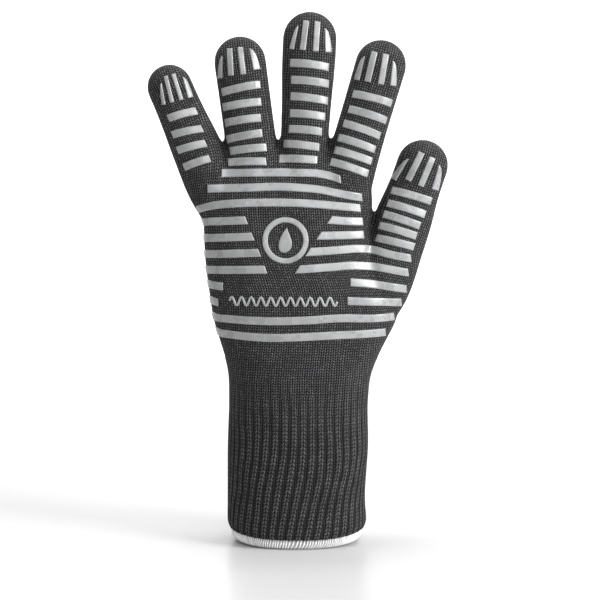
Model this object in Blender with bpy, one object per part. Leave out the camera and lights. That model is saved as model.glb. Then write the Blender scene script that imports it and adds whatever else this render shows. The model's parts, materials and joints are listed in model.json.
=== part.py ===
"""Heat resistant knitted glove with a silicone grip print, standing upright on its cuff.

Frame: +Z up, X across the palm with the thumb at +X, the printed palm side faces -Y.
The origin is on the floor under the middle of the glove's outline.
Every dimension here is in millimetres; new_object turns them into Blender's metres.
"""

import math

import bmesh
import bpy
import numpy as np
from mathutils import Matrix, Vector

MM = 0.001

# Layers: an outer knit with a separate cotton liner inside it.
LAYER = 2.0
GAP = 0.3
LINER = LAYER + GAP
WALL = LINER + LAYER

# Heights along the cuff and the palm.
HEM_TOP = 5.2
CUFF_BOTTOM = HEM_TOP + GAP
WRIST = 104.0
WRIST_FOLD_HALF = 12.0
PALM_TOP = 245.5
HEM_BULGE = 0.7
HEM_ROUND = 1.2

# Cross-sections of the cuff and the palm without its digits: height, left x, right x, half depth.
TORSO = (
    (0.0, -45.2, 42.0, 31.0),
    (60.0, -45.0, 42.4, 31.0),
    (92.0, -44.2, 42.6, 30.0),
    (104.0, -44.6, 44.4, 29.4),
    (116.0, -47.0, 48.8, 28.6),
    (127.0, -50.3, 54.2, 27.8),
    (138.0, -53.6, 59.6, 27.0),
    (153.0, -56.0, 61.0, 26.0),
    (178.0, -59.0, 50.0, 23.5),
    (200.0, -60.0, 45.0, 20.8),
    (218.0, -62.0, 44.5, 17.3),
    (232.0, -60.0, 42.0, 12.2),
    (PALM_TOP, -50.0, 30.0, 5.0),
)
SQUARENESS = 2.3

# Digits: tip x and z, lean from vertical in degrees (right is positive), half widths as
# (distance from the tip, half width), fold centre and half length, the bars' distances from the
# tip, bar width and height. The axis of a digit lies in the plane y = 0.
DIGITS = {
    "little_finger": {
        "tip": (-85.6, 294.8),
        "lean": -23.5,
        "half_widths": ((0, 14.0), (25, 14.0), (58, 15.8), (80, 16.5), (112, 12.0)),
        "root": 112.0,
        "fold": (41.6, 7.0),
        "bars": (31.0, 41.6, 52.0, 62.4),
        "bar": (19.5, 5.0),
    },
    "ring_finger": {
        "tip": (-38.9, 312.9),
        "lean": -7.6,
        "half_widths": ((0, 16.0), (70, 16.0), (100, 17.0)),
        "root": 108.0,
        "fold": (58.0, 6.6),
        "bars": (31.0, 40.0, 49.0, 58.0, 67.0, 76.0),
        "bar": (25.0, 5.0),
    },
    "middle_finger": {
        "tip": (7.0, 330.0),
        "lean": 3.0,
        "half_widths": ((0, 16.7), (35, 16.4), (60, 15.3), (82, 14.8), (110, 16.5)),
        "root": 124.0,
        "fold": (73.5, 7.0),
        "bars": (33.5, 43.5, 53.5, 63.5, 73.5, 83.0, 92.0),
        "bar": (24.0, 5.0),
    },
    "index_finger": {
        "tip": (54.0, 310.3),
        "lean": 16.5,
        "half_widths": ((0, 15.8), (75, 15.8), (100, 17.0)),
        "root": 108.0,
        "fold": (62.5, 6.6),
        "bars": (35.0, 44.0, 53.0, 62.5, 71.5, 80.7),
        "bar": (25.0, 5.0),
    },
    "thumb": {
        "tip": (80.8, 249.1),
        "lean": 19.2,
        "half_widths": ((0, 16.0), (35, 16.4), (48, 17.7), (68, 18.5), (100, 18.3), (128, 10.0)),
        "root": 128.0,
        "fold": (47.25, 7.6),
        "bars": (36.0, 43.5, 51.0, 58.5, 66.0),
        "bar": (27.6, 4.5),
    },
}
# Half depth of every digit by distance from the tip, as a share of its half width.
DIGIT_DEPTHS = ((0, 0.76), (60, 0.78), (110, 0.95))

# Silicone print: bars stand proud of the knit by their thickness.
BAR_GAP = 0.4
BAR_SINK = 1.2
BAR_THICKNESS = 0.8
BAR_STEP = 5.0
ROW_HEIGHT = 5.0
ROW_PITCH = 10.0
FIRST_ROW = 230.0
# The rows across the palm from the top row down: left end, right end, and how far the row
# droops towards its right end, over the last DROOP_LENGTH of it.
ROWS = (
    (-49.6, 24.8, 4.5),
    (-56.0, 38.8, 5.0),
    (-57.0, 37.8, 2.5),
    (-55.0, 39.7, 1.0),
    (-54.5, 39.7, 0.0),
    (-54.0, 69.0, 6.0),
    (-53.5, 67.0, 4.5),
    (-53.0, 65.0, 3.5),
    (-52.5, 61.0, 2.5),
    (-49.5, 53.5, 1.2),
    (-46.0, 51.0, 0.5),
)
DROOP_LENGTH = 30.0
# The rows beside the emblem stop at an upside-down triangle, those beside the label at a box.
EMBLEM_ROWS = (4, 5, 6, 7)
EMBLEM_FOOT = 170.0
EMBLEM_LEFT = (-20.5, -0.42)
EMBLEM_RIGHT = (-2.5, 0.66)
LABEL_ROWS = (8, 9)
LABEL_ENDS = (-47.0, 31.6)

# Mesh fineness.
TORSO_SIDES = 28
DIGIT_SIDES = 16
DOME_STEPS = 3
SHARP_ANGLE = 40.0
# How far a cutter runs past the face that it opens.
OVERSHOOT = 6.0

KNIT = ("aramid_knit", (0.052, 0.054, 0.057, 1), 0.9)
LINING = ("cotton_liner", (0.62, 0.60, 0.55, 1), 0.95)
THREAD = ("hem_thread", (0.80, 0.79, 0.76, 1), 0.8)
SILICONE = ("silicone_print", (0.46, 0.47, 0.48, 1), 0.38)


def clear_scene():
    for obj in list(bpy.data.objects):
        bpy.data.objects.remove(obj)


def material(name, colour, roughness):
    made = bpy.data.materials.get(name) or bpy.data.materials.new(name)
    made.use_nodes = True
    shader = made.node_tree.nodes["Principled BSDF"]
    shader.inputs["Base Color"].default_value = colour
    shader.inputs["Roughness"].default_value = roughness
    shader.inputs["Metallic"].default_value = 0.0
    made.diffuse_color = colour
    return made


def new_empty(name, place, lean=0.0, parent=None):
    """An empty on a hinge: its X runs along the hinge's axis and its Z along the piece."""
    empty = bpy.data.objects.new(name, None)
    empty.empty_display_size = 0.02
    bpy.context.collection.objects.link(empty)
    world = Matrix.Translation(Vector(place) * MM) @ Matrix.Rotation(math.radians(lean), 4, "Y")
    if parent:
        empty.parent = parent
        empty.matrix_basis = parent.matrix_world.inverted() @ world
    else:
        empty.matrix_basis = world
    bpy.context.view_layer.update()
    return empty


def new_object(name, points, faces, finish, parent=None):
    """A closed mesh from points in millimetres in the glove's frame, held in its parent's frame."""
    to_local = parent.matrix_world.inverted() if parent else Matrix.Identity(4)
    mesh = bpy.data.meshes.new(name)
    mesh.from_pydata([to_local @ (Vector(p) * MM) for p in points], [], faces)
    shell = bmesh.new()
    shell.from_mesh(mesh)
    bmesh.ops.recalc_face_normals(shell, faces=shell.faces)
    shell.to_mesh(mesh)
    shell.free()
    mesh.materials.append(material(*finish))
    mesh.shade_smooth()
    mesh.set_sharp_from_angle(angle=math.radians(SHARP_ANGLE))
    obj = bpy.data.objects.new(name, mesh)
    obj.parent = parent
    bpy.context.collection.objects.link(obj)
    return obj


def boolean(obj, cutter, operation):
    cutter.hide_render = True
    cutter.display_type = "WIRE"
    modifier = obj.modifiers.new(cutter.name, "BOOLEAN")
    modifier.operation = operation
    modifier.solver = "EXACT"
    modifier.object = cutter


# Rings and the surfaces between them


def oval(half_width, half_depth, sides, power=2.0):
    """Points round a superellipse, as (across, depth) pairs."""
    turns = np.linspace(0, 2 * math.pi, sides, endpoint=False)
    across = np.sign(np.cos(turns)) * np.abs(np.cos(turns)) ** (2 / power)
    depth = np.sign(np.sin(turns)) * np.abs(np.sin(turns)) ** (2 / power)
    return half_width * across, half_depth * depth


def torso_size(z):
    heights, left, right, depth = np.array(TORSO).T
    return np.interp(z, heights, left), np.interp(z, heights, right), np.interp(z, heights, depth)


def torso_ring(z, inset):
    left, right, depth = torso_size(z)
    across, deep = oval((right - left) / 2 - inset, depth - inset, TORSO_SIDES, SQUARENESS)
    return [(x + (left + right) / 2, y, z) for x, y in zip(across, deep)]


def torso_heights(low, high):
    return [low] + [row[0] for row in TORSO if low + 1 < row[0] < high - 1] + [high]


def digit_axis(digit):
    """Direction from the tip towards the root, and direction across, both in the XZ plane."""
    lean = math.radians(digit["lean"])
    along = np.array([-math.sin(lean), 0, -math.cos(lean)])
    across = np.array([math.cos(lean), 0, -math.sin(lean)])
    return along, across


def digit_point(digit, station, offset=0.0):
    along, across = digit_axis(digit)
    tip = np.array([digit["tip"][0], 0, digit["tip"][1]])
    return tip + along * station + across * offset


def digit_size(digit, station, inset=0.0):
    """Half width and half depth at a distance from the tip, rounding off in a dome."""
    width = np.interp(station, *np.array(digit["half_widths"], float).T)
    depth = width * np.interp(station, *np.array(DIGIT_DEPTHS, float).T)
    radius = digit["half_widths"][0][1] - inset
    short = np.clip(1 - (station - inset) / radius, 0, 1)
    dome = np.sqrt(1 - short**2)
    return (width - inset) * dome, (depth - inset) * dome


def digit_ring(digit, station, inset):
    _, across = digit_axis(digit)
    centre = digit_point(digit, station)
    half_width, half_depth = digit_size(digit, station, inset)
    return [
        tuple(centre + across * x + np.array([0, y, 0]))
        for x, y in zip(*oval(half_width, half_depth, DIGIT_SIDES))
    ]


def dome_stations(digit, inset):
    radius = digit["half_widths"][0][1] - inset
    turns = [math.pi / 2 * (i + 1) / DOME_STEPS for i in range(DOME_STEPS)]
    return [inset + radius * (1 - math.cos(turn)) for turn in turns]


def digit_stations(digit, low, high):
    between = [s for s, _ in digit["half_widths"] if low + 3 < s < high - 3]
    return [low] + between + [high]


def bridge(rings, closed=False):
    """Points and quads joining rings of equal length, with open ends or round into a loop."""
    points = [point for ring in rings for point in ring]
    sides = len(rings[0])
    faces = []
    for i in range(len(rings) if closed else len(rings) - 1):
        first = i * sides
        second = (i + 1) % len(rings) * sides
        for k in range(sides):
            after = (k + 1) % sides
            faces.append((first + k, first + after, second + after, second + k))
    return points, faces


def solid(rings, pole=None):
    """A closed solid through rings, ended by flat caps or, at its start, by a pole."""
    points, faces = bridge(rings)
    sides = len(rings[0])
    end = len(points) - sides
    faces.append(tuple(range(end, end + sides)))
    if pole is None:
        faces.append(tuple(range(sides)))
    else:
        points.append(pole)
        faces += [(len(points) - 1, k, (k + 1) % sides) for k in range(sides)]
    return points, faces


def tube(outer, inner):
    """A closed tube wall between two stacks of rings, open at both ends of the hole."""
    return bridge(outer + inner[::-1], closed=True)


def capped_sleeve(outer, inner, outer_pole, inner_pole):
    """A closed wall like a finger of a glove: domed at its start and open at its end."""
    points, faces = bridge(outer + inner[::-1])
    sides = len(outer[0])
    last = len(points) - sides
    points += [outer_pole, inner_pole]
    tip, inside = len(points) - 2, len(points) - 1
    for k in range(sides):
        after = (k + 1) % sides
        faces.append((tip, k, after))
        faces.append((inside, last + k, last + after))
    return points, faces


# Knitted layers


def torso_tube(name, low, high, outer_inset, inner_inset, finish, parent=None):
    heights = torso_heights(low, high)
    outer = [torso_ring(z, outer_inset) for z in heights]
    inner = [torso_ring(z, inner_inset) for z in heights]
    return new_object(name, *tube(outer, inner), finish, parent)


def make_hem():
    """Overlocked edge, its profile rounded and its underside flat on the floor."""
    profile = (
        (0.0, 0.0),
        (HEM_ROUND, -HEM_BULGE),
        (HEM_TOP - HEM_ROUND, -HEM_BULGE),
        (HEM_TOP, 0.0),
    )
    outer = [torso_ring(z, inset) for z, inset in profile]
    inner = [torso_ring(z, WALL - inset) for z, inset in profile]
    new_object("cuff_hem", *tube(outer, inner), THREAD)


def digit_sleeve(name, digit, end, outer_inset, inner_inset, finish, parent):
    def stack(inset):
        dome = dome_stations(digit, inset)
        rest = digit_stations(digit, dome[-1], end)[1:]
        return [digit_ring(digit, s, inset) for s in dome + rest]

    poles = [tuple(digit_point(digit, inset)) for inset in (outer_inset, inner_inset)]
    sleeve = capped_sleeve(stack(outer_inset), stack(inner_inset), *poles)
    new_object(name, *sleeve, finish, parent)


def digit_root(name, digit, start, inset, overshoot):
    """The solid from the digit's cut down into the palm, for joining to it or cutting from it."""
    stations = digit_stations(digit, start - overshoot, digit["root"] - inset)
    rings = [digit_ring(digit, s, inset) for s in stations]
    return new_object(name, *solid(rings), KNIT)


def palm_body(name, inset, bottom, overshoot):
    """Solid palm with its five digit roots, shrunk by inset all round."""
    heights = torso_heights(bottom - overshoot, PALM_TOP - inset)
    body = new_object(name, *solid([torso_ring(z, inset) for z in heights]), KNIT)
    for digit_name, digit in DIGITS.items():
        centre, half = digit["fold"]
        root = digit_root(f"{name}_{digit_name}", digit, centre + half + GAP / 2, inset, overshoot)
        boolean(body, root, "UNION")
    return body


def make_palm_layer(name, outer_inset, inner_inset, finish, parent):
    bottom = WRIST + WRIST_FOLD_HALF + GAP / 2
    outer = palm_body(f"{name}_outer", outer_inset, bottom, 0)
    inner = palm_body(f"{name}_hollow", inner_inset, bottom, OVERSHOOT)
    boolean(outer, inner, "DIFFERENCE")
    graph = bpy.context.evaluated_depsgraph_get()
    shell = outer.evaluated_get(graph).to_mesh()
    points = [tuple(v.co / MM) for v in shell.vertices]
    faces = [tuple(face.vertices) for face in shell.polygons]
    outer.evaluated_get(graph).to_mesh_clear()
    for helper in [o for o in bpy.data.objects if o.name.startswith(f"{name}_")]:
        bpy.data.objects.remove(helper)
    new_object(name, points, faces, finish, parent)


def make_digit(name, digit, palm):
    """One digit: its hinge empty, its two sleeves and the fold band at its root."""
    centre, half = digit["fold"]
    hinge = new_empty(f"{name}_hinge", digit_point(digit, centre), digit["lean"], palm)
    end = centre - half - GAP / 2
    digit_sleeve(f"{name}_knit", digit, end, 0, LAYER, KNIT, hinge)
    digit_sleeve(f"{name}_liner", digit, end, LINER, WALL, LINING, hinge)
    stations = (centre - half + GAP / 2, centre, centre + half - GAP / 2)
    outer = [digit_ring(digit, s, 0) for s in stations]
    inner = [digit_ring(digit, s, WALL) for s in stations]
    band = new_object(f"{name}_fold", *tube(outer, inner), KNIT, palm)
    for number, station in enumerate(digit["bars"], 1):
        if abs(station - centre) < half:
            piece = digit_bar(f"{name}_fold_bar_{number}", digit, station, palm, sunk=True)
            boolean(band, piece, "UNION")
        elif station < centre:
            digit_bar(f"{name}_bar_{number}", digit, station, hinge)
        else:
            digit_bar(f"{name}_bar_{number}", digit, station, palm)


# Silicone print


def front(x, z):
    """The y of the glove's printed side over a point: the foremost of the palm and the digits."""
    left, right, depth = torso_size(z)
    share = min(abs(2 * x - left - right) / (right - left), 1)
    found = 0.0
    if z < PALM_TOP:
        found = -depth * (1 - share**SQUARENESS) ** (1 / SQUARENESS)
    for digit in DIGITS.values():
        along, across = digit_axis(digit)
        away = np.array([x, 0, z]) - digit_point(digit, 0)
        station, offset = away @ along, away @ across
        if 0 < station < digit["root"]:
            half_width, half_depth = digit_size(digit, station)
            if abs(offset) < half_width:
                found = min(found, -half_depth * math.sqrt(1 - (offset / half_width) ** 2))
    return found


def lifted(x, z, lift):
    """A point over the printed side, lifted off it along the surface's own normal."""
    step = 1.0
    slope_x = (front(x + step, z) - front(x - step, z)) / (2 * step)
    slope_z = (front(x, z + step) - front(x, z - step)) / (2 * step)
    normal = np.array([slope_x, -1, slope_z])
    return tuple(np.array([x, front(x, z), z]) + lift * normal / np.linalg.norm(normal))


def strip(name, lower, upper, parent, sunk=False):
    """A printed bar between a lower and an upper edge, given as (x, z) points on the palm side."""
    base = -BAR_SINK if sunk else BAR_GAP
    top = BAR_GAP + BAR_THICKNESS
    rings = []
    for low, high in zip(lower, upper):
        rings.append([lifted(*low, base), lifted(*high, base), lifted(*high, top), lifted(*low, top)])
    return new_object(name, *solid(rings), SILICONE, parent)


def digit_bar(name, digit, station, parent, sunk=False):
    width, height = digit["bar"]
    count = 2 * math.ceil(width / (2 * BAR_STEP))
    edges = []
    for side in (height / 2, -height / 2):
        spots = [
            digit_point(digit, station + side, offset)
            for offset in np.linspace(-width / 2, width / 2, count)
        ]
        edges.append([(spot[0], spot[2]) for spot in spots])
    return strip(name, *edges, parent, sunk)


def palm_bar(name, z, droop, left, right, parent):
    """A row across the palm. Its ends are (x, slope), so that an end can run aslant."""
    count = math.ceil((right[0] - left[0]) / BAR_STEP) + 1
    edges = []
    for side in (-ROW_HEIGHT / 2, ROW_HEIGHT / 2):
        ends = [x + slope * side for x, slope in (left, right)]
        edges.append([(x, z + side - droop(x)) for x in np.linspace(*ends, count)])
    strip(name, *edges, parent)


def make_palm_rows(palm):
    for number, (left, right, drop) in enumerate(ROWS, 1):
        z = FIRST_ROW - ROW_PITCH * (number - 1)
        name = f"palm_bar_{number:02d}"

        def droop(x, right=right, drop=drop):
            return drop * max(0, 1 - (right - x) / DROOP_LENGTH) ** 2

        if number in EMBLEM_ROWS:
            gap = [
                (foot + slope * (z - EMBLEM_FOOT), slope)
                for foot, slope in (EMBLEM_LEFT, EMBLEM_RIGHT)
            ]
        elif number in LABEL_ROWS:
            gap = [(x, 0.0) for x in LABEL_ENDS]
        else:
            palm_bar(name, z, droop, (left, 0.0), (right, 0.0), palm)
            continue
        palm_bar(f"{name}_left", z, droop, (left, 0.0), gap[0], palm)
        palm_bar(f"{name}_right", z, droop, gap[1], (right, 0.0), palm)


def main():
    clear_scene()
    low_fold, high_fold = WRIST - WRIST_FOLD_HALF, WRIST + WRIST_FOLD_HALF
    palm = new_empty("wrist_hinge", (0, 0, WRIST))
    make_hem()
    torso_tube("cuff_knit", CUFF_BOTTOM, low_fold - GAP / 2, 0, LAYER, KNIT)
    torso_tube("cuff_liner", CUFF_BOTTOM, low_fold - GAP / 2, LINER, WALL, LINING)
    torso_tube("wrist_fold", low_fold + GAP / 2, high_fold - GAP / 2, 0, WALL, KNIT)
    make_palm_layer("palm_knit", 0, LAYER, KNIT, palm)
    make_palm_layer("palm_liner", LINER, WALL, LINING, palm)
    for name, digit in DIGITS.items():
        make_digit(name, digit, palm)
    make_palm_rows(palm)


main()
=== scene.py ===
"""Looks of the heat resistant glove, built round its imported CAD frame.

Lengths in this file are in millimetres and become metres where a mesh is made.
The frame: +Z up, the thumb at +X, the printed palm side faces -Y.
"""

import json
import math

import bmesh
import bpy
import numpy as np
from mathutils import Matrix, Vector
from mathutils.bvhtree import BVHTree


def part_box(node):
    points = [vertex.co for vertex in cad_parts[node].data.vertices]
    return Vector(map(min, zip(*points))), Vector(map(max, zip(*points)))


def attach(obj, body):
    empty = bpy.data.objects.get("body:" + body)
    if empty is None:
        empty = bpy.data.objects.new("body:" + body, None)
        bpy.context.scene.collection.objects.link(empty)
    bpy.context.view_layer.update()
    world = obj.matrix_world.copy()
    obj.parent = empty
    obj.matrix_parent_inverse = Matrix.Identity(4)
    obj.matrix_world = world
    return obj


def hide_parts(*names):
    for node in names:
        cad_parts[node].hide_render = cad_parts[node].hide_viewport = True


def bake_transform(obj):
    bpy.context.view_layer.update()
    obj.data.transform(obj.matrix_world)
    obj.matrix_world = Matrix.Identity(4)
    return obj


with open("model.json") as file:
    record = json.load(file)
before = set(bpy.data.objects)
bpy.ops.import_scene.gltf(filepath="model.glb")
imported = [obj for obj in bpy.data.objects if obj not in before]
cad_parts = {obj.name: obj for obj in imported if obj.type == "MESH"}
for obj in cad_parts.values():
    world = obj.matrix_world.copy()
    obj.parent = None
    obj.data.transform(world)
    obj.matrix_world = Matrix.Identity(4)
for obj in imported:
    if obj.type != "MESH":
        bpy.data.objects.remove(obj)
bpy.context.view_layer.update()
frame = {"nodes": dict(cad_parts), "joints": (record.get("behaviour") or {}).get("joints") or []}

MM = 0.001
# A Y in metres that lies in front of the whole glove.
IN_FRONT = -0.2
JOINTS = {joint["child"]: joint for joint in frame["joints"]}

# The glove's form. Cross-sections of cuff and palm: height, left x, right x, half depth.
TORSO = (
    (0.0, -44.6, 40.4, 32.6),
    (9.0, -45.2, 41.4, 32.4),
    (24.0, -45.2, 40.6, 31.8),
    (60.0, -45.0, 42.4, 31.0),
    (92.0, -44.2, 42.6, 30.0),
    (104.0, -44.6, 44.2, 29.4),
    (116.0, -47.0, 48.8, 28.6),
    (127.0, -50.3, 54.2, 27.8),
    (138.0, -53.6, 59.6, 27.0),
    (153.0, -56.0, 61.0, 26.0),
    (178.0, -59.0, 50.0, 23.5),
    (200.0, -60.0, 45.0, 20.8),
    (218.0, -62.0, 44.5, 17.3),
    (232.0, -60.0, 42.0, 12.4),
    (245.5, -50.0, 30.0, 5.0),
)
SQUARENESS = 2.3
PALM_TOP = TORSO[-1][0]

# The lofts: the cuff's begins below its cut. A step between rings, and points in a ring.
LOFT_FOOT = -4.0
RING_STEP = 2.0
TORSO_SIDES = 96
DIGIT_SIDES = 48
TIP_TURNS = (0.08, math.pi / 2, 12)

# Digits: half widths by distance from the tip, root's distance, fold centre and half length.
# bars: distance from the tip, sideways shift, width and tilt in degrees of each cross bar.
# tips: sideways shift, distance, turn in degrees, spacing and length of the four lengthwise bars.
# moons: for the left and right half-moon, shifts towards the root and across, a turn and a share of width.
DIGITS = {
    "little_finger": {
        "half_widths": ((0, 14.0), (25, 14.0), (58, 15.8), (80, 16.5), (112, 12.0)),
        "root": 112.0,
        "fold": (41.6, 7.0),
        "bar_height": 4.9,
        "bars": (
            (32.6, 0.7, 17.8, 8.5), (43.3, -0.7, 18.5, 11.8), (52.8, -2.0, 18.0, 9.5),
            (63.0, -2.9, 17.0, 4.7),
        ),
        "tips": (2.1, 16.1, 8.1, 5.3, 16.6),
        "moons": ((0.0, 0.0, 0.0, 0.95), (0.0, 1.2, 6.0, 1.3)),
    },
    "ring_finger": {
        "half_widths": ((0, 16.0), (70, 16.0), (100, 17.0)),
        "root": 108.0,
        "fold": (58.0, 6.6),
        "bar_height": 5.0,
        "bars": (
            (31.8, -1.3, 23.9, -3.7), (41.6, -2.0, 23.6, -0.5), (51.2, -2.7, 22.2, -0.4),
            (60.9, -3.2, 22.1, -2.6), (69.1, -2.0, 22.6, 1.6), (76.6, -3.7, 23.5, 6.6),
        ),
        "tips": (-2.1, 15.9, 2.7, 7.0, 16.6),
        "moons": ((0.8, 0.0, 0.0, 0.9), (-2.3, 1.8, 0.5, 1.45)),
    },
    "middle_finger": {
        "half_widths": ((0, 16.4), (35, 16.4), (60, 15.3), (82, 14.8), (110, 16.5)),
        "root": 124.0,
        "trim": 2.0,
        "fold": (73.5, 7.0),
        "bar_height": 5.0,
        "bars": (
            (34.8, 0.6, 23.6, 3.4), (44.9, 1.4, 23.0, 2.9), (55.0, 1.5, 22.8, 4.0),
            (65.0, 1.0, 21.6, 3.0), (74.4, 0.2, 20.3, 2.4), (83.7, -1.7, 21.8, 3.0),
            (92.3, -3.3, 23.4, -1.0),
        ),
        "tips": (0.3, 17.8, 2.4, 7.4, 18.1),
        "moons": ((0.0, 0.7, 0.0, 0.8), (-0.3, 0.4, -1.0, 1.25)),
    },
    "index_finger": {
        "half_widths": ((0, 15.8), (75, 15.8), (100, 17.0)),
        "root": 108.0,
        "fold": (62.5, 6.6),
        "bar_height": 4.9,
        "bars": (
            (36.6, 0.6, 24.5, -3.0), (46.9, 0.7, 24.1, 0.5), (56.5, -0.1, 23.8, 2.4),
            (65.5, -0.6, 23.8, 2.1), (73.2, -0.6, 23.8, 0.8), (80.9, -0.8, 24.2, 1.6),
        ),
        "tips": (-1.9, 18.7, -5.0, 7.7, 18.7),
        "moons": ((0.0, 0.5, -4.0, 0.95), (-0.8, 0.0, -0.5, 1.15)),
    },
    "thumb": {
        "half_widths": ((0, 16.0), (35, 16.4), (48, 17.7), (68, 18.5), (100, 18.3), (128, 10.0)),
        "root": 128.0,
        "fold": (47.25, 7.6),
        "bar_height": 4.9,
        "bars": (
            (35.5, -0.8, 25.3, -3.7), (44.0, -1.1, 24.2, -2.0), (51.4, -1.6, 23.5, -1.0),
            (58.4, -1.7, 23.7, -2.9), (65.7, -0.8, 23.9, -5.6),
        ),
        "tips": (-1.0, 18.8, 5.3, 7.9, 19.0),
        "moons": ((3.0, -0.4, 0.0, 0.9), (-1.6, 1.3, -3.0, 1.3)),
    },
}
DIGIT_DEPTHS = ((0, 0.76), (60, 0.78), (110, 0.95))
# A point belongs to a digit within this share of its half width.
DIGIT_REACH = 1.2

# The layers and where the skin is parted for the joints.
KNIT_TO_LINER = 3.3
WRIST = JOINTS["palm"]["pos_m"][2] / MM
WRIST_FOLD_HALF = 12.0
PALM_CUT = WRIST + WRIST_FOLD_HALF + 11.0
NEAR_CUT = 4
CUT_TOLERANCE = 1e-7
HEM_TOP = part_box("cuff_hem")[1].z / MM + 2.0
SKIN_BOTTOM = HEM_TOP - 1.0
LINER_BOTTOM = 1.5
# The overlocked hem: its rim's points, its thickness, and the loops of thread round it.
HEM_SIDES = (300, 14)
HEM_THICK = 2.1
HEM_INSET = 0.45
HEM_LOOPS = 160
HEM_THREAD = 0.42
LOOP_POINTS = 10
# Every second loop reaches higher over the knit, and each one wanders: by how much and at what pace.
LOOP_REACH = (0.45, 0.5)
LOOP_FOOT = -0.35
LOOP_PROUD = 0.1
REACH_WANDER = (0.15, 2.3)
LOOP_LEAN = 0.34
PLACE_WANDER = (0.1, 1.7)
THREAD_SIDES = 6
# The outward direction at a point of the thread is its place with Y weighed by this.
OUTWARD_Y = 1.4

# Soft waves in the fabric: how many, their height and lengths, and where they fade in above the hem.
WAVES = 10
WAVE_HEIGHT = 0.16
WAVE_LENGTHS = (16.0, 46.0)
WAVE_PHASES = (0, 6.28)
WAVES_FADE = (4, 30)
# Relief shows on the front and back and less on the sides, by this power of the normal's Y.
RELIEF_POWER = 1.5
# The creases below the webs: from (x, z) to (x, z) and depth, which fades by a power along each.
CREASES = (
    ((44.3, 200.0), (41.5, 164.0), 2.2),
    ((-47.4, 245.0), (-45.5, 228.0), 1.0),
    ((-12.4, 245.0), (-12.0, 233.0), 1.0),
    ((18.7, 244.0), (19.0, 232.0), 1.0),
)
CREASE_WIDTH = 3.6
CREASE_POWER = 0.7

# The mouth of the cuff: how far its sides lift off the floor, and how far the knit curls in there.
MOUTH_LIFT = 3.0
LIFTED = 30.0
CURL = 2.2
CURLED = (4.0, 12.0)

# Knit: ribs round the cuff, their depth, and the stitches' width and height.
RIBS = 48
RIB_DEPTH = 0.7
RIB_END = 124.0
RIB_FADE = 66.0
STITCH = (2.9, 1.6)
RIB_STITCH = 2.4
RIB_WALE = 0.62
# A rib's profile: its power, and the level of it that stays where the plain surface is.
RIB_PROFILE = (0.7, 0.62)
# How far the ribs lean sideways: by so much, from one height to another.
RIB_LEANS = ((7.5, -10, 62), (-2.0, 60, 130))
# How the ribs wander, as shares of a rib: size, length along the cuff, and waves round it.
RIB_WANDER = ((0.07, 9.0, 3), (0.06, 21.0, -5))

# Where the digits' knit begins to follow the palm's: distance from the tip, over how far, and a shift.
KNIT_JOINS = {
    "little_finger": (50.0, 40.0, 0.0),
    "ring_finger": (66.0, 34.0, 0.0),
    "middle_finger": (82.0, 34.0, 0.0),
    "index_finger": (70.0, 34.0, 0.0),
    "thumb": (64.0, 50.0, 8.0),
}
# How widely digits share the knit between them.
KNIT_SHARING = 0.6

# How far a normal faces forward or back where the sides' columns of stitches take over.
SIDE_KNIT = (0.45, 0.62)
# How far a normal points along the digit where the tip's own stitches take over.
END_KNIT = (0.62, 0.78)

# Silicone print: how far it stands proud, the radius of its rim and its depth below the skin's surface,
# the steps in from an edge that shape the rim, and the step between them along a band.
PRINT_HEIGHT = 0.6
PRINT_ROUND = 0.6
PRINT_SINK = 0.35
EDGE_STEPS = (0.0, 0.14, 0.42, 0.9)
PRINT_STEP = 1.6
BAR_SAG = 0.4
# Lengthwise bars on a tip: their width where they lie TIP_SPACING apart, and the turn between them.
TIP_BAR = 3.8
TIP_FAN = 3.6
TIP_SPACING = 7.6
MOON_INWARD = 0.95
# A half-moon: where it starts and ends as shares of its length, its least width, and its bulge.
MOON_RUN = (-0.31, 0.5)
MOON_EDGE = 0.3
MOON_BULGE = 1.15
MOON_TAPER = 0.28
# Points along the long edges of a cross bar, a half-moon, a straight tip bar and a row.
BAR_POINTS = 9
MOON_POINTS = 14
TIP_POINTS = 8
ROW_POINTS = 48
# The step along a closed band, which has NO_END near, and the depth of any band's outermost edge.
CLOSED_STEP = 1.2
NO_END = 9.0
EDGE_SINK = PRINT_SINK * 0.5
ROW_HEIGHT = 5.0
ROW_END_SLOPE = -0.12
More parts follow.
